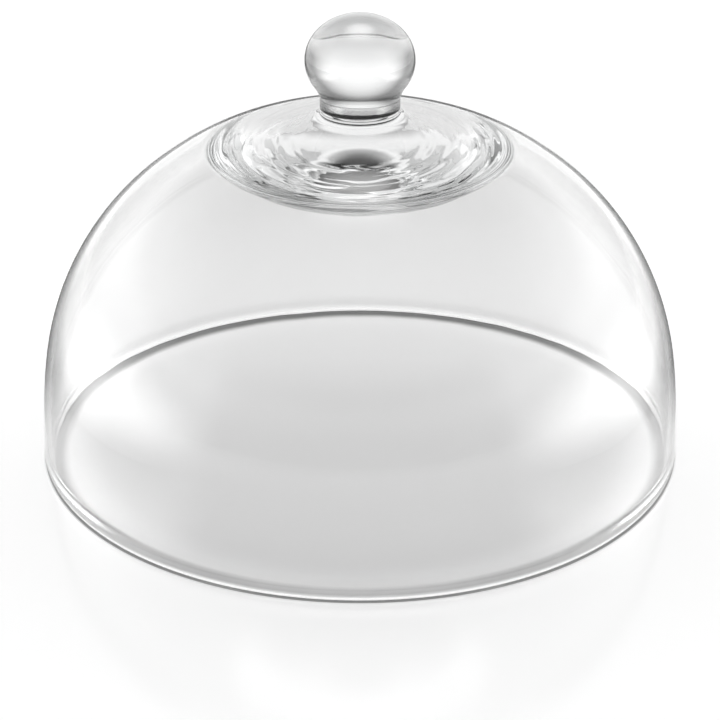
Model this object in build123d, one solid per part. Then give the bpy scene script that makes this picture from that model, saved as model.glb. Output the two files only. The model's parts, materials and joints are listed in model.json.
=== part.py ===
from build123d import *
import math
import os

# A glass cloche: a blown dome with a heavy crown, and a solid glass knob bonded to a boss on top of it.
# Millimetres. The origin is on the axis at the height of the table that the lip rests on, and +Z is up.

# Dome, outside
rim_diameter = 280.0
dome_height = 148.3
shoulder_curve_radius = 122.5
wall_sweep_degrees = 10.1
crown_sweep_degrees = 11.2

# Dome, thickness of the glass
rim_wall = 3.6
crown_wall = 7.0

# Lip: a fire-polished bead, a little thicker than the wall, that has settled to a narrow flat
lip_height = 7.0
lip_swell = 0.4
lip_settle = 0.15

# Crown lens: the heavy disc of glass that hangs inside, under the knob
lens_diameter = 114.0
lens_drop = 10.0
lens_face_radius = 1000.0
lens_edge_radius = 21.0
lens_edge_lean_degrees = 47.5
lens_root_reach = 8.0

# Boss: the flat ground seat for the knob, with the collar that flares down into the dome
boss_diameter = 33.6
boss_rise = 3.1
collar_reach = 5.5
ground_bevel = 0.35

# Bond between boss and knob
bond_thickness = 0.2
bond_margin = 0.9

# Knob: a flattened ball on a short shank
knob_diameter = 45.8
knob_ball_height = 38.2
shank_length = 7.2
neck_radius = 2.5

rim_radius = rim_diameter / 2
boss_radius = boss_diameter / 2
lens_radius = lens_diameter / 2
lip_middle = lip_height / 2
seam_height = dome_height + boss_rise
knob_foot = seam_height + bond_thickness


def arc_about(centre, start, end):
    """The shorter arc about a centre, from one point of its circle to another."""
    radius = (start - centre).length
    middle = centre + ((start - centre) + (end - centre)).normalized() * radius
    return ThreePointArc(start, middle, end)


def on_circle(centre, radius, from_axis):
    """The point of a circle's upper half at a distance from the axis."""
    across = from_axis - centre.X
    return centre + Vector(across, math.sqrt(radius**2 - across**2))


def arch(springing, top, shoulder_curve, stop_radius):
    """A three-centred arch: upright at its springing, level at its top, and smooth where its arcs meet.

    The wall's and the crown's arcs keep their sweeps, and their radii follow from the arch's span and rise.
    The arch stops at stop_radius from the axis, on its crown or, further out, on its shoulder.
    """
    low = math.radians(wall_sweep_degrees)
    high = math.radians(crown_sweep_degrees)
    span = springing.X - shoulder_curve * (math.cos(low) - math.sin(high))
    rise = top.Y - springing.Y - shoulder_curve * (math.cos(high) - math.sin(low))
    # span = wall_curve (1 - cos low) + crown_curve sin high
    # rise = wall_curve sin low + crown_curve (1 - cos high)
    scale = math.sin(low) * math.sin(high) - (1 - math.cos(low)) * (1 - math.cos(high))
    wall_curve = (rise * math.sin(high) - span * (1 - math.cos(high))) / scale
    crown_curve = (span * math.sin(low) - rise * (1 - math.cos(low))) / scale

    wall_centre = springing - Vector(wall_curve, 0)
    towards_low = Vector(math.cos(low), math.sin(low))
    towards_high = Vector(math.sin(high), math.cos(high))
    low_joint = wall_centre + towards_low * wall_curve
    shoulder_centre = low_joint - towards_low * shoulder_curve
    high_joint = shoulder_centre + towards_high * shoulder_curve
    crown_centre = top - Vector(0, crown_curve)

    wall = arc_about(wall_centre, springing, low_joint)
    if stop_radius > high_joint.X:
        stop = on_circle(shoulder_centre, shoulder_curve, stop_radius)
        return [wall, arc_about(shoulder_centre, low_joint, stop)]
    stop = on_circle(crown_centre, crown_curve, stop_radius)
    shoulder = arc_about(shoulder_centre, low_joint, high_joint)
    return [wall, shoulder, arc_about(crown_centre, high_joint, stop)]


def flare(side, curve):
    """A sweep that leaves an upright side and runs out into the end of a curve, along the curve's own slope."""
    foot = curve @ 1
    upright = Vector(0, (foot.Y - side.Y) / 2)
    along = (curve % 1) * ((foot.X - side.X) / 2)
    return Bezier(side, side + upright, foot + along, foot)


def turned(*outline):
    """The solid that a closed outline sweeps round the axis: x is the radius and y the height."""
    return revolve(Plane.XZ * make_face(outline), Axis.Z)


def rings_of_radius(solid, radius):
    """The solid's round edges of one radius, lowest first."""
    rings = solid.edges().filter_by(GeomType.CIRCLE)
    return rings.filter_by(lambda edge: abs(edge.radius - radius) < 0.001).sort_by(Axis.Z)


def lip_bead():
    """The bead round the rim, cut flat where it stands on the table."""
    half_width = rim_wall / 2 + lip_swell
    middle = Pos(rim_radius - rim_wall / 2, lip_middle - lip_settle)
    below = Pos(rim_radius - rim_wall / 2, -lip_middle) * Rectangle(4 * half_width, lip_height)
    return revolve(Plane.XZ * (middle * Ellipse(half_width, lip_middle) - below), Axis.Z)


def outside():
    """The dome filled in: the arch, and the collar that sweeps from it up to the boss's ground top."""
    springing = Vector(rim_radius, lip_middle)
    crown = Vector(0, dome_height)
    outer_arch = arch(springing, crown, shoulder_curve_radius, boss_radius + collar_reach)
    side = Vector(boss_radius, seam_height - ground_bevel)
    top_edge = Vector(boss_radius - ground_bevel, seam_height)
    top = Vector(0, seam_height)
    floor = Vector(0, springing.Y)
    return turned(
        *outer_arch,
        flare(side, outer_arch[-1]),
        Line(side, top_edge),
        Line(top_edge, top),
        Line(top, floor),
        Line(floor, springing),
    )


def hollow():
    """The space inside: an arch of its own, so that the wall thickens towards the crown, and the lens at its top."""
    springing = Vector(rim_radius - rim_wall, lip_middle)
    ceiling = Vector(0, dome_height - crown_wall)
    shoulder_curve = shoulder_curve_radius - (rim_wall + crown_wall) / 2
    inner_arch = arch(springing, ceiling, shoulder_curve, lens_radius + lens_root_reach)
    root = inner_arch[-1] @ 1

    # The lens: an almost flat face, a broad round edge, and a hollow sweep from there into the ceiling.
    lean = math.radians(lens_edge_lean_degrees)
    bottom = Vector(0, root.Y - lens_drop)
    face_centre = bottom + Vector(0, lens_face_radius)
    edge_from_axis = lens_radius - lens_edge_radius * math.sin(lean)
    edge_below = math.sqrt((lens_face_radius - lens_edge_radius) ** 2 - edge_from_axis**2)
    edge_centre = face_centre + Vector(edge_from_axis, -edge_below)
    joint = face_centre + (edge_centre - face_centre).normalized() * lens_face_radius
    side = edge_centre + Vector(math.sin(lean), -math.cos(lean)) * lens_edge_radius
    reach = (root - side).length / 2
    leaving = Vector(math.cos(lean), math.sin(lean)) * reach
    arriving = (inner_arch[-1] % 1) * reach
    floor = Vector(0, springing.Y)
    return turned(
        *inner_arch,
        Bezier(side, side + leaving, root + arriving, root),
        arc_about(edge_centre, side, joint),
        arc_about(face_centre, joint, bottom),
        Line(bottom, floor),
        Line(floor, springing),
    )


def glass_dome():
    """The blown piece: lip, wall, heavy crown, collar and boss in one glass."""
    return outside() - hollow() + lip_bead()


def bond_film():
    """The cured adhesive, a thin disc that stops short of the edge of the seam."""
    return Pos(0, 0, seam_height) * Cylinder(
        boss_radius - bond_margin, bond_thickness, align=(Align.CENTER, Align.CENTER, Align.MIN)
    )


def knob():
    """The solid knob: its shank stands on the bond and matches the boss below it."""
    half_width = knob_diameter / 2
    half_height = knob_ball_height / 2
    shank_top = knob_foot + shank_length
    meets_ball = math.acos(boss_radius / half_width)
    ball_middle = Vector(0, shank_top + half_height * math.sin(meets_ball))
    below = math.degrees(meets_ball)
    ball = EllipticalCenterArc(ball_middle, half_width, half_height, -below, arc_size=90 + below)
    foot_centre = Vector(0, knob_foot)
    foot_edge = Vector(boss_radius, knob_foot)
    body = turned(
        Line(foot_centre, foot_edge),
        Line(foot_edge, ball @ 0),
        ball,
        Line(ball @ 1, foot_centre),
    )
    rings = rings_of_radius(body, boss_radius)
    body = fillet(rings[-1], neck_radius)
    return chamfer(rings_of_radius(body, boss_radius)[0], ground_bevel)


pieces = {
    "glass_dome": glass_dome(),
    "bond_film": bond_film(),
    "knob": knob(),
}

os.makedirs("parts", exist_ok=True)
for name, piece in pieces.items():
    export_step(piece, f"parts/{name}.step")
    size = piece.bounding_box().size
    print(f"{name}: {piece.volume / 1000:.1f} cm3, {size.X:.1f} x {size.Y:.1f} x {size.Z:.1f} mm")
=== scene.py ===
# %% [markdown]
# # A glass cloche with a ball knob
# The cloche is clear glass all over: a wide blown dome with a rounded lip and a heavy crown, and a solid
# knob bonded on top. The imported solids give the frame, in metres, and every piece below is made in that
# frame, so nothing has to be fitted afterwards. Glass is all light and thickness, so the two things that
# matter are true wall sections, inside and out, and a studio that gives the glass something to show.

# %% Load the frame
import json
import math

import bmesh
import bpy
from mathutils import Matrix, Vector, noise


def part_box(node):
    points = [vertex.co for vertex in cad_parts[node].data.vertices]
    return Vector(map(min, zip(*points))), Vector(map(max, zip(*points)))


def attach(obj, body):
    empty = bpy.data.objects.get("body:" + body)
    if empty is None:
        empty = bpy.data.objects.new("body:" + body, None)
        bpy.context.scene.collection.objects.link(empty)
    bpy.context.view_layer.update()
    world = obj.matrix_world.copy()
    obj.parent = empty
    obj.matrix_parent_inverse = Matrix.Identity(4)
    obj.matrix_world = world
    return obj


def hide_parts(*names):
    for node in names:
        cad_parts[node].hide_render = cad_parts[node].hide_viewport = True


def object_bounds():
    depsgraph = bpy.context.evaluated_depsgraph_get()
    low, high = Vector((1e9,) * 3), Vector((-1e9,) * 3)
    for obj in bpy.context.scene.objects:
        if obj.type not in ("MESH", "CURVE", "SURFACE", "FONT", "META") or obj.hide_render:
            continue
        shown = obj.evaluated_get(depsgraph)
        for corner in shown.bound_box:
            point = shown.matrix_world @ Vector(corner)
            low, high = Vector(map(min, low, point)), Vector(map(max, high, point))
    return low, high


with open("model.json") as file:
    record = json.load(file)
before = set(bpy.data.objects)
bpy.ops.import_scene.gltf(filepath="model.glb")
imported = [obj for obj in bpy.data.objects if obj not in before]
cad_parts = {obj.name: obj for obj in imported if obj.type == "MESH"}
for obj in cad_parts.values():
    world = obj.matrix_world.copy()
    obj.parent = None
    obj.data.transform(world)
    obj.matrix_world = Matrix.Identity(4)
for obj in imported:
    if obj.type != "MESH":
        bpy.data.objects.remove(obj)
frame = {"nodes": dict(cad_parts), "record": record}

MM = 0.001
cad_low, cad_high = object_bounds()
scene = bpy.context.scene
scene.view_settings.view_transform = "Standard"

# Light runs to and fro inside solid glass many times before it comes out, so it may bounce more than usual.
scene.cycles.max_bounces = 48
scene.cycles.glossy_bounces = 40
scene.cycles.transmission_bounces = 24
print("nodes:", ", ".join(sorted(frame["nodes"])))
print(f"box: {cad_high.x - cad_low.x:.4f} x {cad_high.y - cad_low.y:.4f} x {cad_high.z - cad_low.z:.4f} m")

# %% [markdown]
# ## Camera
# The picture looks down on the cloche with a long lens from about six rim radii away. The lens and the two
# angles are set so that the rim's ellipse and the knob land where the picture has them. A focal length is
# easiest to fit in pixels, and it becomes millimetres on a 36 mm sensor.

# %% Camera
PICTURE_WIDTH_PX = 720
FOCAL_PX = 1863
SENSOR_MM = 36.0
CAMERA_DISTANCE = 0.840
CAMERA_ELEVATION = math.radians(28.24)
CAMERA_PITCH = math.radians(26.1)

camera_data = bpy.data.cameras.new("camera")
camera_data.sensor_width = SENSOR_MM
camera_data.lens = FOCAL_PX / PICTURE_WIDTH_PX * SENSOR_MM
camera = bpy.data.objects.new("camera", camera_data)
camera.location = (
    0.0,
    -CAMERA_DISTANCE * math.cos(CAMERA_ELEVATION),
    CAMERA_DISTANCE * math.sin(CAMERA_ELEVATION),
)
camera.rotation_euler = (math.pi / 2 - CAMERA_PITCH, 0.0, 0.0)
scene.collection.objects.link(camera)
scene.camera = camera
print(f"camera: {camera_data.lens:.1f} mm lens at {CAMERA_DISTANCE:.2f} m")

# %% [markdown]
# ## Node tools
# Every finish here is built from shader nodes in code. Nodes could be added and linked one by one each
# time, but the same few steps come back in every material: a sum or a product, a soft fade from one value
# to another, and a blend of two values. A few small functions keep the materials short enough to read. They
# take numbers and sockets alike, and those for sums, fades and blends give back the socket to link next.

# %% Node tools


def new_material(name):
    """An empty material, with its node tree and its output node."""
    material = bpy.data.materials.new(name)
    material.use_nodes = True
    tree = material.node_tree
    tree.nodes.clear()
    return material, tree, tree.nodes.new("ShaderNodeOutputMaterial")


def feed(tree, value, socket):
    """Sets a socket to a number, or links it to another socket."""
    if isinstance(value, (int, float)):
        socket.default_value = value
    else:
        tree.links.new(value, socket)


def plain_math(tree, operation, first, second=None, clamp=False):
    """One Math node, with one value or two."""
    node = tree.nodes.new("ShaderNodeMath")
    node.operation = operation
    node.use_clamp = clamp
    feed(tree, first, node.inputs[0])
    if second is not None:
        feed(tree, second, node.inputs[1])
    return node.outputs[0]


def fade(tree, value, start, end):
    """1 at start and 0 at end, with a smooth step between."""
    node = tree.nodes.new("ShaderNodeMapRange")
    node.interpolation_type = "SMOOTHSTEP"
    feed(tree, value, node.inputs["Value"])
    feed(tree, start, node.inputs["From Min"])
    feed(tree, end, node.inputs["From Max"])
    node.inputs["To Min"].default_value = 1.0
    node.inputs["To Max"].default_value = 0.0
    return node.outputs["Result"]


def between(tree, amount, first, second):
    """first where amount is 0 and second where it is 1."""
    node = tree.nodes.new("ShaderNodeMix")
    feed(tree, amount, node.inputs["Factor"])
    feed(tree, first, node.inputs["A"])
    feed(tree, second, node.inputs["B"])
    return node.outputs["Result"]


print("node tools:", ", ".join(tool.__name__ for tool in (plain_math, fade, between)))

# %% [markdown]
# ## Places and greys
# Most masks below depend on where a point lies on its object, so three short functions read that place, its
# X, Y and Z, and its distance from the object's origin. Object coordinates are used rather than a UV map,
# because they are in metres and need no unwrapping. Everything on this set is neutral, so colours are made
# from one shade in all three channels.

# %% Place and colour tools


def place_on(tree):
    """Where a point lies on its object, as a vector."""
    return tree.nodes.new("ShaderNodeTexCoord").outputs["Object"]


def parts_of(tree, vector):
    """The X, Y and Z of a vector, by name."""
    node = tree.nodes.new("ShaderNodeSeparateXYZ")
    tree.links.new(vector, node.inputs["Vector"])
    return node.outputs


def length_of(tree, vector):
    """How long a vector is: for a place, how far it lies from the object's origin."""
    node = tree.nodes.new("ShaderNodeVectorMath")
    node.operation = "LENGTH"
    tree.links.new(vector, node.inputs[0])
    return node.outputs["Value"]


def neutral(tree, shade):
    """A colour with the same shade in each channel."""
    node = tree.nodes.new("ShaderNodeCombineColor")
    for channel in ("Red", "Green", "Blue"):
        tree.links.new(shade, node.inputs[channel])
    return node.outputs["Color"]


print("place tools:", ", ".join(tool.__name__ for tool in (place_on, parts_of, length_of, neutral)))

# %% [markdown]
# ## Floor
# The cloche stands on a plain pale floor that fills the whole picture. Its gloss gives the faint mirrored
# dome in front of the lip. A backdrop isn't needed, because the camera looks down and never sees the
# horizon. The floor glows a little for the camera and for rays that come from glass, so it is white without
# more light on the cloche. Through clear glass nothing but floor shows, so shade is painted into its tone:
# a painted shadow under the front of the dome and painted shade far behind it. Where the lip stands lies a
# painted contact shadow, a thin dark ring, which fades slowly inwards, because the lip's bead shows the
# floor just inside it.

# %% Floor tone with painted shade
# Painted shade on the floor: a shadow under the front of the dome, a contact shadow round the lip, shade far
# behind.
UNDER_SHADOW_REACH = (0.110, 0.140)
UNDER_SHADOW_ALONG = (-0.02, 0.11)
UNDER_SHADOW_TONE = 0.75
CONTACT_SHADOW_OUTSIDE = (0.0016, 0.0028)
CONTACT_SHADOW_INSIDE = (-0.0038, -0.0095)
CONTACT_SHADOW_TONE = 0.30
BEHIND_SHADE_ALONG = (0.40, 0.10)
BEHIND_SHADE_TONE = 0.78

lip_seat = next(mount for mount in frame["record"]["mounts"] if mount["name"] == "lip_seat")
lip_radius = lip_seat["pos_m"][0]


def painted_floor_shade(tree):
    """1 on the open floor, and darker where shade is painted: under the dome, round the lip and far behind.
    """
    place = place_on(tree)
    along = parts_of(tree, place)["Y"]
    reach = length_of(tree, place)
    from_lip = plain_math(tree, "SUBTRACT", reach, lip_radius)
    shadow_under = plain_math(tree, "MULTIPLY", fade(tree, reach, *UNDER_SHADOW_REACH), fade(tree, along, *UNDER_SHADOW_ALONG))
    outside = fade(tree, from_lip, *CONTACT_SHADOW_OUTSIDE)
    contact_shadow = plain_math(tree, "MULTIPLY", outside, fade(tree, from_lip, *CONTACT_SHADOW_INSIDE))
    shade_behind = fade(tree, along, *BEHIND_SHADE_ALONG)
    tone = between(tree, shadow_under, 1.0, UNDER_SHADOW_TONE)
    for cover, dark in ((contact_shadow, CONTACT_SHADOW_TONE), (shade_behind, BEHIND_SHADE_TONE)):
        tone = plain_math(tree, "MULTIPLY", between(tree, cover, 1.0, dark), tone)
    return tone


print(f"the lip stands {lip_radius / MM:.1f} mm from the axis")

# %% Floor material
FLOOR_WHITE = 0.92
FLOOR_GLOW = 0.60
FLOOR_ROUGHNESS = 0.13
FLOOR_IOR = 2.2


def white_floor():
    material, tree, output = new_material("white_floor")
    # The painted shade darkens the floor's glow as well as its colour.
    colour = neutral(tree, plain_math(tree, "MULTIPLY", painted_floor_shade(tree), FLOOR_WHITE))
    seen = tree.nodes.new("ShaderNodeLightPath").outputs
    by_glass = plain_math(tree, "ADD", seen["Is Glossy Ray"], seen["Is Transmission Ray"])
    by_any = plain_math(tree, "ADD", seen["Is Camera Ray"], by_glass, clamp=True)
    glow = plain_math(tree, "MULTIPLY", by_any, FLOOR_GLOW / FLOOR_WHITE)
    shader = tree.nodes.new("ShaderNodeBsdfPrincipled")
    tree.links.new(colour, shader.inputs["Base Color"])
    tree.links.new(colour, shader.inputs["Emission Color"])
    tree.links.new(glow, shader.inputs["Emission Strength"])
    shader.inputs["Roughness"].default_value = FLOOR_ROUGHNESS
    shader.inputs["IOR"].default_value = FLOOR_IOR
    tree.links.new(shader.outputs["BSDF"], output.inputs["Surface"])
    return material


floor_material = white_floor()
print("material:", floor_material.name)

# %% Floor
FLOOR_HALF_WIDTH = 12.0
FLOOR_DROP = 0.05 * MM


def square(half_width):
    """The corners of a square about the origin."""
    corners = [(-1, -1), (1, -1), (1, 1), (-1, 1)]
    return [(x * half_width, y * half_width) for x, y in corners]


def stage_sheet(name, outline, material):
    """A flat piece of the set."""
    mesh = bpy.data.meshes.new(name)
    mesh.from_pydata([(x, y, 0.0) for x, y in outline], [], [tuple(range(len(outline)))])
    mesh.materials.append(material)
    sheet = bpy.data.objects.new(name, mesh)
    scene.collection.objects.link(sheet)
    return sheet


floor = stage_sheet("floor", square(FLOOR_HALF_WIDTH), floor_material)
floor.location.z = cad_low.z - FLOOR_DROP
print(f"floor: {2 * FLOOR_HALF_WIDTH:.0f} m square")

# %% [markdown]
# ## Studio light
# Clear glass shows only what stands around it. A real studio has white walls and a dim ceiling, and here the
# world does the same: a ramp over the height gives a bright horizon and a dim top, which puts light and dark
# into the thick glass of the crown. A node group answers how much of a soft-edged panel lies in a direction,
# and the world adds two bright panels at the sides and takes some light away in front, where a photographer
# would stand. Panels in the world are smooth and free of noise, which lamps behind glass are not.

# %% Panel group
# A direction beside or behind a panel counts as this far in front, so nothing is divided by zero.
LEAST_FACING = 0.001


def new_group(name, inputs, outputs):
    """A shader node group with named sockets. Each input is (name, socket type, default)."""
    group = bpy.data.node_groups.new(name, "ShaderNodeTree")
    for label, kind, default in inputs:
        socket = group.interface.new_socket(label, in_out="INPUT", socket_type=kind)
        socket.default_value = default
    for label, kind in outputs:
        group.interface.new_socket(label, in_out="OUTPUT", socket_type=kind)
    return group, group.nodes.new("NodeGroupInput"), group.nodes.new("NodeGroupOutput")


def vector_math(tree, operation, first, second):
    """One Vector Math node of two vectors, for its Value or its Vector."""
    node = tree.nodes.new("ShaderNodeVectorMath")
    node.operation = operation
    tree.links.new(first, node.inputs[0])
    tree.links.new(second, node.inputs[1])
    return node.outputs


def panel_group():
    """How much of a soft-edged panel lies in a direction, from 0 to 1.

    The panel is a window one unit away: Facing points at its middle and Across along its width.
    """
    vector, number = "NodeSocketVector", "NodeSocketFloat"
    inputs = [
        ("Direction", vector, (0.0, 0.0, 1.0)),
        ("Facing", vector, (0.0, 1.0, 0.0)),
        ("Across", vector, (1.0, 0.0, 0.0)),
        ("Half Width", number, 0.5),
        ("Half Height", number, 0.5),
        ("Softness", number, 0.2),
    ]
    group, inside, result = new_group("soft_panel", inputs, [("Light", number)])
    given = inside.outputs
    along = vector_math(group, "DOT_PRODUCT", given["Direction"], given["Facing"])["Value"]
    in_front = plain_math(group, "MAXIMUM", along, LEAST_FACING)
    upward = vector_math(group, "CROSS_PRODUCT", given["Across"], given["Facing"])["Vector"]
    masks = []
    for axis, half in ((given["Across"], given["Half Width"]), (upward, given["Half Height"])):
        distance = vector_math(group, "DOT_PRODUCT", given["Direction"], axis)["Value"]
        spread = plain_math(group, "ABSOLUTE", plain_math(group, "DIVIDE", distance, in_front))
        outer = plain_math(group, "ADD", half, given["Softness"])
        masks.append(fade(group, spread, half, outer))
    group.links.new(plain_math(group, "MULTIPLY", *masks), result.inputs["Light"])
    return group


soft_panel = panel_group()
print("group:", soft_panel.name)

# %% Studio world
# height as the sine of the elevation, light
SKY = [(0.0, 1.25), (0.30, 1.25), (0.50, 0.55), (0.85, 0.20)]

# name, azimuth from straight behind (to the right), elevation, half width, half height, softness, strength
PANELS = [
    ("left", -64, 28, 0.25, 0.20, 0.35, 0.60),
    ("right", 64, 28, 0.25, 0.20, 0.35, 0.60),
    ("dark_front", 180, 10, 1.00, 0.60, 0.60, -0.50),
]


def sky_light(tree, direction):
    """The light from a height: bright along the horizon and dim overhead."""
    ramp = tree.nodes.new("ShaderNodeValToRGB")
    ramp.color_ramp.interpolation = "EASE"
    steps = ramp.color_ramp.elements
    while len(steps) < len(SKY):
        steps.new(0.5)
    for step, (place, light) in zip(steps, SKY):
        step.position = place
        step.color = (light, light, light, 1.0)
    tree.links.new(parts_of(tree, direction)["Z"], ramp.inputs["Fac"])
    return ramp.outputs["Color"]


def panel_light(tree, direction, name, azimuth, elevation, half_width, half_height, softness, strength):
    """The light that one panel adds in a direction, or takes away."""
    turn, rise = math.radians(azimuth), math.radians(elevation)
    level = math.cos(rise)
    panel = tree.nodes.new("ShaderNodeGroup")
    panel.node_tree = soft_panel
    panel.label = name
    tree.links.new(direction, panel.inputs["Direction"])
    panel.inputs["Facing"].default_value = (math.sin(turn) * level, math.cos(turn) * level, math.sin(rise))
    panel.inputs["Across"].default_value = (math.cos(turn), -math.sin(turn), 0.0)
    panel.inputs["Half Width"].default_value = half_width
    panel.inputs["Half Height"].default_value = half_height
    panel.inputs["Softness"].default_value = softness
    return plain_math(tree, "MULTIPLY", panel.outputs["Light"], strength)


def studio_world():
    world = bpy.data.worlds.new("studio")
    world.use_nodes = True
    tree = world.node_tree
    background = tree.nodes["Background"]
    direction = tree.nodes.new("ShaderNodeTexCoord").outputs["Generated"]
    total = sky_light(tree, direction)
    for panel in PANELS:
        total = plain_math(tree, "ADD", total, panel_light(tree, direction, *panel))
    tree.links.new(total, background.inputs["Strength"])
    background.inputs["Color"].default_value = (1.0, 1.0, 1.0, 1.0)
    return world


scene.world = studio_world()
print("panels:", ", ".join(panel[0] for panel in PANELS))

# %% [markdown]
# ## White cards
# Left and right of the cloche stand two soft white cards, as on a real set, and a small one hangs above the
# knob. They put the broad white patches low on the dome's flanks and a soft light on top of the knob. Lamps
# could do that, but they would also light the floor. These are seen by mirrored rays alone, so they show in
# the glass and, faintly, in the floor's gloss, and add no other light. Their edges fade to clear, because a
# card that ends in black would show as a hard dark line.

# %% Card material
CARD_EDGE = 0.5
CARD_ACROSS_FADE = (0.05, CARD_EDGE)
CARD_FOOT_FADE = (0.05, -CARD_EDGE)
CARD_TOP_FADE = (0.0, CARD_EDGE)
SIDE_CARD_LIGHT = 6.5
TOP_CARD_LIGHT = 7.0


def glow_where(tree, output, cover, strength):
    """Finishes a material that glows where cover is 1 and is clear where cover is 0."""
    glow = tree.nodes.new("ShaderNodeEmission")
    glow.inputs["Strength"].default_value = strength
    clear = tree.nodes.new("ShaderNodeBsdfTransparent")
    blend = tree.nodes.new("ShaderNodeMixShader")
    tree.links.new(cover, blend.inputs["Fac"])
    tree.links.new(clear.outputs["BSDF"], blend.inputs[1])
    tree.links.new(glow.outputs["Emission"], blend.inputs[2])
    tree.links.new(blend.outputs["Shader"], output.inputs["Surface"])


def card_light(name, strength):
    """Light that fades out towards the edges of a card one unit square."""
    material, tree, output = new_material(name)
    place = parts_of(tree, place_on(tree))
    across = fade(tree, plain_math(tree, "ABSOLUTE", place["X"]), *CARD_ACROSS_FADE)
    foot = fade(tree, place["Y"], *CARD_FOOT_FADE)
    top = fade(tree, place["Y"], *CARD_TOP_FADE)
    upward = plain_math(tree, "MULTIPLY", foot, top)
    glow_where(tree, output, plain_math(tree, "MULTIPLY", across, upward), strength)
    return material


side_light = card_light("side_card_light", SIDE_CARD_LIGHT)
top_light = card_light("top_card_light", TOP_CARD_LIGHT)
print("card lights:", side_light.name, top_light.name)

# %% Cards
CARD_DISTANCE = 0.24
CARD_WIDTH = 0.35
CARD_HEIGHT = 0.14
CARD_MIDDLE_Y = -0.10
CARD_MIDDLE_Z = 0.055
TOP_CARD_SIZE = (0.16, 0.20)
TOP_CARD_PLACE = (0.0, 0.03, 0.33)
LEVEL = (0.0, 0.0, 0.0)


def mirrored_only(sheet):
    """Hides a piece of the set from all rays but mirrored ones."""
    sheet.visible_camera = False
    sheet.visible_diffuse = False
    sheet.visible_shadow = False
    sheet.visible_transmission = False


def card(name, place, turn, size, material):
    """A card one unit square, turned, scaled to size and put in its place."""
    made = stage_sheet(name, square(CARD_EDGE), material)
    mirrored_only(made)
    made.scale = (*size, 1.0)
    made.rotation_euler = turn
    made.location = place
    print(name, "at", place)


for name, side in (("card_left", -1), ("card_right", 1)):
    beside = (side * CARD_DISTANCE, CARD_MIDDLE_Y, CARD_MIDDLE_Z)
    upright = (math.pi / 2, 0.0, -side * math.pi / 2)
    card(name, beside, upright, (CARD_WIDTH, CARD_HEIGHT), side_light)
card("card_top", TOP_CARD_PLACE, LEVEL, TOP_CARD_SIZE, top_light)

# %% [markdown]
# ## Dark strips
# Clear glass on a white floor loses its outline. Photographers lay black strips beside and behind it, just
# where its edges mirror the floor. A darker floor would do it too, but it would darken the whole picture.
# Here only mirrored rays see the strips, from above, so the floor itself stays plain and pale. The strips
# fade out towards the front and outwards.

# %% Strips
SIDE_STRIP = [(0.148, -0.03), (0.36, -0.03), (0.60, 1.10), (0.26, 1.10)]
BACK_STRIP = [(-0.60, 0.75), (0.60, 0.75), (0.90, 2.20), (-0.90, 2.20)]
STRIP_DROP = 0.03 * MM
STRIP_FRONT_FADE = (0.08, -0.03)
STRIP_START = 0.16
STRIP_SLANT = 0.195
STRIP_OUTWARD_FADE = (0.03, 0.20)
STRIP_LIGHT = 0.06


def dark_strip():
    material, tree, output = new_material("dark_strip")
    place = parts_of(tree, place_on(tree))
    front = fade(tree, place["Y"], *STRIP_FRONT_FADE)
    slant = plain_math(tree, "MULTIPLY", place["Y"], STRIP_SLANT)
    inner = plain_math(tree, "ADD", slant, STRIP_START)
    beyond = plain_math(tree, "SUBTRACT", plain_math(tree, "ABSOLUTE", place["X"]), inner)
    solid = plain_math(tree, "MULTIPLY", front, fade(tree, beyond, *STRIP_OUTWARD_FADE))
    from_below = tree.nodes.new("ShaderNodeNewGeometry").outputs["Backfacing"]
    from_above = plain_math(tree, "SUBTRACT", 1.0, from_below)
    glow_where(tree, output, plain_math(tree, "MULTIPLY", solid, from_above), STRIP_LIGHT)
    return material


strip_outlines = {
    "strip_right": SIDE_STRIP,
    "strip_left": [(-x, y) for x, y in SIDE_STRIP[::-1]],
    "strip_back": BACK_STRIP,
}
strip_material = dark_strip()
for name, outline in strip_outlines.items():
    strip = stage_sheet(name, outline, strip_material)
    mirrored_only(strip)
    strip.location.z = cad_low.z - STRIP_DROP
print("strips:", ", ".join(strip_outlines))

# %% [markdown]
# ## Flag
# The thick glass of the crown and the knob bends some of the view straight up. A photographer hangs a black
# flag there, so that the glass gets deep greys beside its white. A dark patch in the world would do, but it
# would take light from the floor as well. Only refracted rays see this flag, a wide square with a soft
# round edge, so the floor keeps its light.

# %% Flag
FLAG_HEIGHT = 1.17
FLAG_HALF_WIDTH = 2.0
FLAG_FADE = (1.0, 1.9)
FLAG_LIGHT = 0.03


def dark_flag():
    material, tree, output = new_material("dark_flag")
    from_middle = length_of(tree, place_on(tree))
    glow_where(tree, output, fade(tree, from_middle, *FLAG_FADE), FLAG_LIGHT)
    return material


flag = stage_sheet("flag", square(FLAG_HALF_WIDTH), dark_flag())
flag.location.z = FLAG_HEIGHT
flag.visible_camera = False
flag.visible_diffuse = False
flag.visible_glossy = False
flag.visible_shadow = False
print(f"flag at {FLAG_HEIGHT:.2f} m")

# %% [markdown]
# ## Drawing a profile
# Every piece is round, so each starts as a profile: half of its section, as points of a radius and a height.
# The points could be typed in, but then no size could be changed. Arcs, sweeps and lines give the points
# instead, with the same centres and lengths as in the solids, apart from the lip's swelling and the neck.

# %% Profile tools
NO_LENGTH = 1e-7


def arc(centre, start, end, count):
    """Points along the shorter arc about a centre, from start to end."""
    first = start - centre
    turn = first.angle_signed(end - centre)
    points = []
    for step in range(count + 1):
        angle = -turn * step / count
        c, s = math.cos(angle), math.sin(angle)
        points.append(centre + Vector((first.x * c - first.y * s, first.x * s + first.y * c)))
    return points


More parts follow.
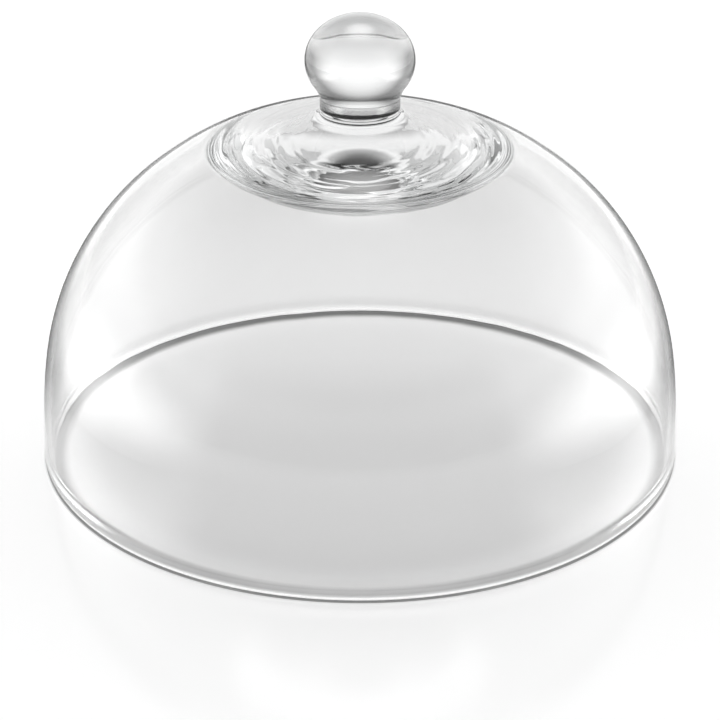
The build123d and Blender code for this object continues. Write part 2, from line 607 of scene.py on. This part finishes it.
def sweep(points, count):
    """Points along a Bezier curve with four control points."""
    a, b, c, d = points
    made = []
    for step in range(count + 1):
        t = step / count
        made.append(a * (1 - t) ** 3 + b * 3 * t * (1 - t) ** 2 + c * 3 * t**2 * (1 - t) + d * t**3)
    return made


def line(start, end, count):
    """Points along a straight line."""
    return [start.lerp(end, step / count) for step in range(count + 1)]


def joined(*stretches):
    """One list of points, without the doubled ones where stretches meet."""
    made = []
    for stretch in stretches:
        for point in stretch:
            if not made or (point - made[-1]).length > NO_LENGTH:
                made.append(point)
    return made


print("profile tools:", ", ".join(tool.__name__ for tool in (arc, sweep, line, joined)))

# %% [markdown]
# ## Turning a profile
# A profile turned about the axis, as on a lathe, makes the whole piece. Blender's Screw modifier could do
# it, but a small function gives closed, evenly spaced rings and lets the glass be uneven: it may move each
# point a little, which a perfect lathe can't.

# %% Lathe
SEGMENTS = 256
CREASE_ANGLE = math.radians(35)


def ring_of(made, point, uneven):
    """The points that one point of a profile becomes: a ring, or a single point on the axis."""
    if point.x < NO_LENGTH:
        return [made.verts.new((0.0, 0.0, point.y))]
    ring = []
    for step in range(SEGMENTS):
        angle = 2 * math.pi * step / SEGMENTS
        radius, height = uneven(point, angle)
        ring.append(made.verts.new((radius * math.cos(angle), radius * math.sin(angle), height)))
    return ring


def bridge(made, inner, outer):
    """Faces between two rings. Either may be a single point."""
    for step in range(SEGMENTS):
        after = (step + 1) % SEGMENTS
        if len(inner) == 1:
            made.faces.new((inner[0], outer[step], outer[after]))
        elif len(outer) == 1:
            made.faces.new((inner[step], outer[0], inner[after]))
        else:
            made.faces.new((inner[step], outer[step], outer[after], inner[after]))


def turned(name, profile, uneven, material):
    """A closed piece: a profile from axis to axis, turned about Z.

    uneven gives the radius and the height that a point of the profile really has at an angle.
    """
    made = bmesh.new()
    rings = [ring_of(made, point, uneven) for point in profile]
    for inner, outer in zip(rings, rings[1:]):
        bridge(made, inner, outer)
    bmesh.ops.recalc_face_normals(made, faces=made.faces)
    mesh = bpy.data.meshes.new(name)
    made.to_mesh(mesh)
    made.free()
    mesh.shade_smooth()
    mesh.set_sharp_from_angle(angle=CREASE_ANGLE)
    mesh.materials.append(material)
    piece = bpy.data.objects.new(name, mesh)
    scene.collection.objects.link(piece)
    print(f"{name}: {len(mesh.vertices)} points, {len(mesh.polygons)} faces")
    return piece


print(f"lathe: {SEGMENTS} points to a ring")

# %% [markdown]
# ## Glass
# Clear glass is a Principled shader with full transmission. Light that crosses a few millimetres stays
# nearly white, but through the crown and the knob it crosses several centimetres and goes grey, and a plain
# Volume Absorption gives exactly that. Where the surface turns away from the eye, Layer Weight darkens the
# tint: painted shade, a grey band along the edges that stands in for the darker surroundings they would
# show. On the knob this painted shade ends below the top, which stays light.
# Hand-made glass is never quite smooth: a shared group puts out a faint ripple for the bump and a little
# handling haze for the roughness.

# %% Glass surface group
RIPPLE_DETAIL = 1.0
HAZE_DETAIL = 4.0
HAZE_FADE = (0.5, 0.75)


def noise_of(tree, place, scale, detail):
    """One Noise Texture node's value."""
    node = tree.nodes.new("ShaderNodeTexNoise")
    node.inputs["Detail"].default_value = detail
    tree.links.new(place, node.inputs["Vector"])
    feed(tree, scale, node.inputs["Scale"])
    return node.outputs["Fac"]


def glass_surface_group():
    number = "NodeSocketFloat"
    inputs = [
        ("Ripple Scale", number, 60.0),
        ("Haze Scale", number, 25.0),
        ("Clean Roughness", number, 0.0),
        ("Haze Roughness", number, 0.02),
    ]
    group, inside, result = new_group("glass_surface", inputs, [("Roughness", number), ("Height", number)])
    given = inside.outputs
    place = place_on(group)
    ripple = noise_of(group, place, given["Ripple Scale"], RIPPLE_DETAIL)
    group.links.new(ripple, result.inputs["Height"])
    haze = noise_of(group, place, given["Haze Scale"], HAZE_DETAIL)
    hazy = plain_math(group, "SUBTRACT", 1.0, fade(group, haze, *HAZE_FADE))
    spread = plain_math(group, "SUBTRACT", given["Haze Roughness"], given["Clean Roughness"])
    extra = plain_math(group, "MULTIPLY", hazy, spread)
    rough = plain_math(group, "ADD", given["Clean Roughness"], extra)
    group.links.new(rough, result.inputs["Roughness"])
    return group


glass_surface = glass_surface_group()
print("group:", glass_surface.name)

# %% Glass materials
GLASS_IOR = 1.50
GLASS_COLOUR = (0.897, 0.901, 0.900, 1.0)


def edge_shade(tree, tint, edge_painted_shade, edge_fade, edge_heights):
    """The tint where the glass faces the eye, and the painted edge shade where it turns away.

    The painted edge shade fades out between two heights.
    """
    # Painted shade: the tint darkens where the surface turns away from the eye.
    facing = tree.nodes.new("ShaderNodeLayerWeight").outputs["Facing"]
    turned_away = plain_math(tree, "SUBTRACT", 1.0, fade(tree, facing, *edge_fade))
    height = parts_of(tree, place_on(tree))["Z"]
    amount = plain_math(tree, "MULTIPLY", turned_away, fade(tree, height, *edge_heights))
    return between(tree, amount, tint, edge_painted_shade)


def clear_glass(name, tint, edge_painted_shade, edge_fade, edge_heights, ripple_scale, ripple_height, density):
    """Glass with a faint ripple, which goes grey with depth and has painted shade where it turns away."""
    material, tree, output = new_material(name)
    shader = tree.nodes.new("ShaderNodeBsdfPrincipled")
    shade = edge_shade(tree, tint, edge_painted_shade, edge_fade, edge_heights)
    tree.links.new(neutral(tree, shade), shader.inputs["Base Color"])
    shader.inputs["Transmission Weight"].default_value = 1.0
    shader.inputs["IOR"].default_value = GLASS_IOR
    surface = tree.nodes.new("ShaderNodeGroup")
    surface.node_tree = glass_surface
    surface.inputs["Ripple Scale"].default_value = ripple_scale
    tree.links.new(surface.outputs["Roughness"], shader.inputs["Roughness"])
    bump = tree.nodes.new("ShaderNodeBump")
    bump.inputs["Strength"].default_value = 1.0
    bump.inputs["Distance"].default_value = ripple_height
    tree.links.new(surface.outputs["Height"], bump.inputs["Height"])
    tree.links.new(bump.outputs["Normal"], shader.inputs["Normal"])
    inside = tree.nodes.new("ShaderNodeVolumeAbsorption")
    inside.inputs["Color"].default_value = GLASS_COLOUR
    inside.inputs["Density"].default_value = density
    tree.links.new(shader.outputs["BSDF"], output.inputs["Surface"])
    tree.links.new(inside.outputs["Volume"], output.inputs["Volume"])
    return material


# The dome's edge heights lie above the knob, so its painted edge shade reaches all of it.
dome_glass = clear_glass(
    "dome_glass",
    tint=0.88,
    edge_painted_shade=0.30,
    edge_fade=(0.62, 0.96),
    edge_heights=(0.20, 0.21),
    ripple_scale=45.0,
    ripple_height=0.04 * MM,
    density=15.0,
)
knob_glass = clear_glass(
    "knob_glass",
    tint=0.97,
    edge_painted_shade=0.10,
    edge_fade=(0.06, 0.50),
    edge_heights=(0.176, 0.186),
    ripple_scale=70.0,
    ripple_height=0.02 * MM,
    density=35.0,
)
print("materials:", dome_glass.name, knob_glass.name)

# %% [markdown]
# ## Dome
# One piece of glass holds the lip, the wall, the heavy crown and the boss for the knob. The wall is drawn
# twice, inside and out, with an arch of three arcs each, so it thickens from the rim up to the crown. A
# thickness could also come from a Solidify modifier, but that gives an even wall, and in glass the eye sees
# the difference. The overall sizes come from the solid's box, and the sections, which a box can't tell, are
# the solid's own.

# %% Dome sizes
LIP_SWELL = 0.4 * MM
LIP_HEIGHT = 7.0 * MM
RIM_WALL = 3.6 * MM
CROWN_WALL = 7.0 * MM
BOSS_RISE = 3.1 * MM
BOSS_RADIUS = 16.8 * MM
GROUND_BEVEL = 0.35 * MM

dome_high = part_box("glass_dome")[1]
rim_radius = dome_high.x - LIP_SWELL
lip_middle = LIP_HEIGHT / 2
seam_height = dome_high.z
dome_height = seam_height - BOSS_RISE
print(f"rim radius {rim_radius / MM:.1f} mm, dome height {dome_height / MM:.1f} mm")

# %% Arch
SHOULDER_CURVE = 122.5 * MM
WALL_SWEEP = math.radians(10.1)
CROWN_SWEEP = math.radians(11.2)
WALL_STEPS = 21
SHOULDER_STEPS = 64
CROWN_STEPS = 16


def arch(springing, top, shoulder_curve, stop_radius):
    """A three-centred arch from its springing up to stop_radius from the axis, and its slope there.

    The wall's and the crown's arcs keep their sweeps, and their radii follow from the arch's span and rise.
    """
    low, high = WALL_SWEEP, CROWN_SWEEP
    span = springing.x - shoulder_curve * (math.cos(low) - math.sin(high))
    rise = top.y - springing.y - shoulder_curve * (math.cos(high) - math.sin(low))
    scale = math.sin(low) * math.sin(high) - (1 - math.cos(low)) * (1 - math.cos(high))
    wall_curve = (rise * math.sin(high) - span * (1 - math.cos(high))) / scale
    crown_curve = (span * math.sin(low) - rise * (1 - math.cos(low))) / scale
    wall_centre = springing - Vector((wall_curve, 0.0))
    towards_low = Vector((math.cos(low), math.sin(low)))
    low_joint = wall_centre + towards_low * wall_curve
    shoulder_centre = low_joint - towards_low * shoulder_curve
    high_joint = shoulder_centre + Vector((math.sin(high), math.cos(high))) * shoulder_curve
    crown_centre = top - Vector((0.0, crown_curve))

    on_shoulder = stop_radius > high_joint.x
    centre, curve = (shoulder_centre, shoulder_curve) if on_shoulder else (crown_centre, crown_curve)
    across = stop_radius - centre.x
    stop = centre + Vector((across, math.sqrt(curve**2 - across**2)))
    stretches = [arc(wall_centre, springing, low_joint, WALL_STEPS)]
    if on_shoulder:
        stretches.append(arc(shoulder_centre, low_joint, stop, SHOULDER_STEPS))
    else:
        stretches.append(arc(shoulder_centre, low_joint, high_joint, SHOULDER_STEPS))
        stretches.append(arc(crown_centre, high_joint, stop, CROWN_STEPS))
    outward = (stop - centre).normalized()
    return joined(*stretches), Vector((-outward.y, outward.x))


print(f"arch: sweeps of {math.degrees(WALL_SWEEP):.1f} and {math.degrees(CROWN_SWEEP):.1f} degrees")

# %% [markdown]
# ## Lip
# The rim was melted smooth in a flame, so the glass drew itself into a bead that is a little thicker than
# the wall, and it settled to a narrow flat where it stands. A bevel on the wall's edge would look cut. Half
# an ellipse, cut off at the table, gives the bead. The wall above it swells to meet it, and dies away more
# softly than in the solid, where the whole ellipse is added to the wall.

# %% Lip
LIP_SETTLE = 0.15 * MM
LIP_FADE = 2.4 * MM
BEAD_STEPS = 24


def lip_bead():
    """The underside of the bead, from the inner wall to the outer, cut flat where it stands."""
    half_width = RIM_WALL / 2 + LIP_SWELL
    middle = Vector((rim_radius - RIM_WALL / 2, lip_middle - LIP_SETTLE))
    points = []
    for step in range(BEAD_STEPS + 1):
        angle = math.pi * (1 + step / BEAD_STEPS)
        height = middle.y + LIP_HEIGHT / 2 * math.sin(angle)
        points.append(Vector((middle.x + half_width * math.cos(angle), max(0.0, height))))
    return points


def swollen(points, side):
    """The wall with the bead's swelling, which dies out a few millimetres above the rim."""
    made = []
    for point in points:
        swell = LIP_SWELL * math.exp(-(((point.y - lip_middle) / LIP_FADE) ** 2))
        made.append(point + Vector((side * swell, 0.0)))
    return made


print(f"lip: a bead {(RIM_WALL + 2 * LIP_SWELL) / MM:.1f} mm thick")

# %% [markdown]
# ## Crown lens
# Inside the crown hangs a thick lens of glass, the part that the eye finds first. Its face is nearly flat,
# its edge is broad and round, and a hollow sweep runs from there into the ceiling. It was spun while soft,
# which left fine streaks round the axis. Bump in the material could imitate them, but the mesh itself would
# stay smooth, so the streaks are real dents, from smooth noise that is stretched round the axis.

# %% Lens
LENS_RADIUS = 57.0 * MM
LENS_DROP = 10.0 * MM
LENS_FACE_RADIUS = 1000.0 * MM
LENS_EDGE_RADIUS = 21.0 * MM
LENS_EDGE_LEAN = math.radians(47.5)
LENS_ROOT_REACH = 8.0 * MM
FACE_STEPS = 74
EDGE_STEPS = 44
ROOT_STEPS = 24


def lens_profile(root, slope):
    """From the axis along the lens's face, round its broad edge, and out into the ceiling."""
    lean = LENS_EDGE_LEAN
    edge_from_axis = LENS_RADIUS - LENS_EDGE_RADIUS * math.sin(lean)
    bottom = Vector((0.0, root.y - LENS_DROP))
    face_centre = bottom + Vector((0.0, LENS_FACE_RADIUS))
    edge_below = math.sqrt((LENS_FACE_RADIUS - LENS_EDGE_RADIUS) ** 2 - edge_from_axis**2)
    edge_centre = face_centre + Vector((edge_from_axis, -edge_below))
    joint = face_centre + (edge_centre - face_centre).normalized() * LENS_FACE_RADIUS
    side = edge_centre + Vector((math.sin(lean), -math.cos(lean))) * LENS_EDGE_RADIUS
    along = Vector((math.cos(lean), math.sin(lean)))
    reach = (root - side).length / 2
    return joined(
        arc(face_centre, bottom, joint, FACE_STEPS),
        arc(edge_centre, joint, side, EDGE_STEPS),
        sweep((side, side + along * reach, root + slope * reach, root), ROOT_STEPS),
    )


print(f"lens: {2 * LENS_RADIUS / MM:.0f} mm across")

# %% Streaks
STREAK_START = 20.0 * MM
STREAK_RISE = 12.0 * MM
STREAK_END = 5.0 * MM
STREAK_PITCH = 60.0 * MM
STREAK_BELOW_SEAM = 20.0 * MM

# depth, changes round the axis, width across the lens, where the noise is read
STREAKS = [
    (0.20 * MM, 3.0, 2.0 * MM, 0.0),
    (0.40 * MM, 1.8, 5.2 * MM, 9.0),
]

streak_ceiling = seam_height - STREAK_BELOW_SEAM


def streaked(point, angle):
    """A point's height with the streaks, which fade in from the lens's middle and end at its edge."""
    amount = min(1.0, max(0.0, (point.x - STREAK_START) / STREAK_RISE))
    amount *= min(1.0, max(0.0, (LENS_RADIUS + STREAK_END - point.x) / STREAK_END))
    if amount == 0.0 or point.y > streak_ceiling:
        return point.y
    turn = angle + point.x / STREAK_PITCH
    around = Vector((math.cos(turn), math.sin(turn), 0.0))
    dent = 0.0
    for depth, changes, width, offset in STREAKS:
        dent += depth * noise.noise(around * changes + Vector((offset, 0.0, point.x / width)))
    return point.y + amount * dent


print("streaks:", ", ".join(f"{depth / MM:.1f} mm deep" for depth, *_ in STREAKS))

# %% [markdown]
# ## Seam
# Knob and boss are ground flat and stuck together, and the adhesive spread unevenly before it set. Two clear
# pieces that only touch would show a gap of air. So, unlike in the solids, the boss rises past the film's
# middle where the adhesive wets it, the knob's foot sinks past it, and the two overlap by a tenth of a
# millimetre. All three pieces share one ragged edge, from noise in three sizes.

# %% Seam
BOND_RADIUS = 15.4 * MM
BOND_REACH = 15.0 * MM
PAD_EDGE = 0.12 * MM
FOOT_INSET = 0.05 * MM
SEAM_SLACK = 0.1 * MM

# depth, changes round the axis
BOND_WANDER = [(0.30 * MM, 2.5), (0.18 * MM, 9.0), (0.12 * MM, 26.0)]

film_low, film_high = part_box("bond_film")


def bond_edge(angle):
    """How far from the axis the adhesive spread in a direction."""
    around = Vector((math.cos(angle), math.sin(angle), 0.0))
    wander = sum(depth * noise.noise(around * changes) for depth, changes in BOND_WANDER)
    return min(BOND_REACH + wander, BOND_RADIUS)


def ragged(point, angle):
    """Moves a round pad's edge in to the adhesive's, and away from the seam gives the lens its streaks."""
    margin = BOSS_RADIUS - GROUND_BEVEL
    beside_seam = seam_height - SEAM_SLACK < point.y < film_high.z + SEAM_SLACK
    if not beside_seam or point.x > margin:
        return point.x, streaked(point, angle)
    edge = bond_edge(angle)
    if point.x <= BOND_RADIUS:
        return point.x / BOND_RADIUS * edge, point.y
    share = (point.x - BOND_RADIUS - PAD_EDGE) / (margin - BOND_RADIUS - PAD_EDGE)
    return edge + PAD_EDGE + share * (margin - edge - PAD_EDGE), point.y


print(f"seam: {(film_high.z - film_low.z) / MM:.2f} mm at {seam_height / MM:.1f} mm")

# %% [markdown]
# ## Dome piece
# The dome's profile starts on the axis at the lens, goes out and down the inside, round the lip and up the
# outside, over the collar and the boss, and ends on the axis again. One closed profile makes one closed
# piece, which glass needs: a shader can only tell inside from outside on a mesh without holes.

# %% Boss
COLLAR_REACH = 5.5 * MM
COLLAR_STEPS = 18
RIM_STEPS = 2
PAD_STEPS = 6


def boss_profile(foot, slope):
    """From the dome up the collar, over the bevel and the ground rim, and across the wetted pad."""
    side = Vector((BOSS_RADIUS, seam_height - GROUND_BEVEL))
    top_edge = Vector((BOSS_RADIUS - GROUND_BEVEL, seam_height))
    upright = Vector((0.0, (foot.y - side.y) / 2))
    along = slope * ((foot.x - side.x) / 2)
    collar = sweep((side, side + upright, foot + along, foot), COLLAR_STEPS)
    pad_height = film_high.z - FOOT_INSET
    return joined(
        collar[::-1],
        line(side, top_edge, RIM_STEPS),
        line(top_edge, Vector((BOND_RADIUS + PAD_EDGE, seam_height)), RIM_STEPS),
        line(Vector((BOND_RADIUS, pad_height)), Vector((0.0, pad_height)), PAD_STEPS),
    )


print(f"boss: {2 * BOSS_RADIUS / MM:.1f} mm across")

# %% Dome piece


def dome_profile():
    inner_springing = Vector((rim_radius - RIM_WALL, lip_middle))
    outer_springing = Vector((rim_radius, lip_middle))
    ceiling = Vector((0.0, dome_height - CROWN_WALL))
    crown = Vector((0.0, dome_height))
    inner_curve = SHOULDER_CURVE - (RIM_WALL + CROWN_WALL) / 2
    inner, inner_slope = arch(inner_springing, ceiling, inner_curve, LENS_RADIUS + LENS_ROOT_REACH)
    outer, outer_slope = arch(outer_springing, crown, SHOULDER_CURVE, BOSS_RADIUS + COLLAR_REACH)
    return joined(
        lens_profile(inner[-1], inner_slope),
        swollen(inner, -1)[::-1],
        lip_bead(),
        swollen(outer, 1),
        boss_profile(outer[-1], outer_slope),
    )


dome = turned("glass_dome_blown", dome_profile(), ragged, dome_glass)
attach(dome, "root")
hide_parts("glass_dome")

# %% [markdown]
# ## Knob
# The knob is solid: a flattened ball on a short shank, pressed separately and ground flat at its foot. A
# scaled sphere on a cylinder would meet it in a hard line, so a short sweep makes the neck, much like the
# solid's fillet. The knob acts as a strong lens that turns the studio upside down, so it has to be solid
# glass to its middle.

# %% Knob piece
KNOB_BALL_HEIGHT = 38.2 * MM
NECK_REACH = 2.4 * MM
NECK_TURN = 0.16
SHANK_STEPS = 6
NECK_STEPS = 10
BALL_STEPS = 72

knob_low, knob_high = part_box("knob")


def knob_profile():
    half_width = knob_high.x
    half_height = KNOB_BALL_HEIGHT / 2
    foot_height = knob_low.z
    middle = Vector((0.0, knob_high.z - half_height))
    meets_shank = math.acos(BOSS_RADIUS / half_width)

    def on_ball(angle):
        return middle + Vector((half_width * math.cos(angle), half_height * math.sin(angle)))

    start = NECK_TURN - meets_shank
    ball = [on_ball(start + (math.pi / 2 - start) * step / BALL_STEPS) for step in range(BALL_STEPS)]
    ball.append(Vector((0.0, knob_high.z)))
    shank_top = Vector((BOSS_RADIUS, on_ball(-meets_shank).y - NECK_REACH))
    upright = Vector((0.0, NECK_REACH / 2))
    leaving = (ball[0] - ball[1]).normalized() * NECK_REACH / 2
    foot_edge = Vector((BOSS_RADIUS - GROUND_BEVEL, foot_height))
    shank_foot = Vector((BOSS_RADIUS, foot_height + GROUND_BEVEL))
    pad_height = film_low.z + FOOT_INSET
    return joined(
        line(Vector((0.0, pad_height)), Vector((BOND_RADIUS, pad_height)), PAD_STEPS),
        line(Vector((BOND_RADIUS + PAD_EDGE, foot_height)), foot_edge, RIM_STEPS),
        line(foot_edge, shank_foot, RIM_STEPS),
        line(shank_foot, shank_top, SHANK_STEPS),
        sweep((shank_top, shank_top + upright, ball[0] + leaving, ball[0]), NECK_STEPS),
        ball,
    )


knob = turned("knob_ball", knob_profile(), ragged, knob_glass)
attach(knob, "root")
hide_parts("knob")

# %% [markdown]
# ## Bond
# A thin film of clear adhesive joins the boss and the knob's foot, and stops short of the edge. It matches
# the glass on both sides of it, so its index is 1 against them, and light goes straight through. Towards the
# front the film's colour is dark, with a torn edge: painted shade, standing in for the shade in the seam,
# and that is the dark line under the shank. Shade painted on the outside would sit on the surface, so the
# dark front is in the film's own colour, deep in the glass.

# %% Adhesive
FILM_IOR = 1.0
FILM_ROUGHNESS = 0.02
FILM_SHADE = 0.95
PAINTED_SEAM_SHADE = 0.02
DARK_FRONT = -7.0 * MM
DARK_BOW = 30.0
DARK_BLUR = 0.4 * MM
TORN_DEPTH = 1.2 * MM
TORN_SCALE = 420.0
TORN_DETAIL = 4.0
NOISE_MIDDLE = 0.5


def adhesive():
    material, tree, output = new_material("clear_adhesive")
    place = place_on(tree)
    parts = parts_of(tree, place)
    torn = plain_math(tree, "SUBTRACT", noise_of(tree, place, TORN_SCALE, TORN_DETAIL), NOISE_MIDDLE)
    offset = plain_math(tree, "MULTIPLY", torn, 2 * TORN_DEPTH)
    bow = plain_math(tree, "MULTIPLY", plain_math(tree, "POWER", parts["X"], 2.0), DARK_BOW)
    edge = plain_math(tree, "ADD", plain_math(tree, "SUBTRACT", parts["Y"], bow), offset)
    # Painted shade: the film's colour goes dark towards the front, with a torn edge.
    clear = fade(tree, edge, DARK_FRONT, DARK_FRONT - DARK_BLUR)
    shade = between(tree, clear, PAINTED_SEAM_SHADE, FILM_SHADE)
    shader = tree.nodes.new("ShaderNodeBsdfPrincipled")
    tree.links.new(neutral(tree, shade), shader.inputs["Base Color"])
    shader.inputs["Transmission Weight"].default_value = 1.0
    shader.inputs["IOR"].default_value = FILM_IOR
    shader.inputs["Roughness"].default_value = FILM_ROUGHNESS
    tree.links.new(shader.outputs["BSDF"], output.inputs["Surface"])
    return material


clear_adhesive = adhesive()
print("material:", clear_adhesive.name)

# %% Bond film piece
FILM_INSET = 0.02 * MM
FILM_STEPS = 4

film_top = Vector((0.0, film_high.z - FILM_INSET))
film_bottom = Vector((0.0, film_low.z + FILM_INSET))
film_edge = Vector((BOND_RADIUS, 0.0))
film_profile = joined(
    line(film_bottom, film_bottom + film_edge, FILM_STEPS),
    line(film_top + film_edge, film_top, FILM_STEPS),
)
film = turned("bond_film_disc", film_profile, ragged, clear_adhesive)
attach(film, "root")
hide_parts("bond_film")
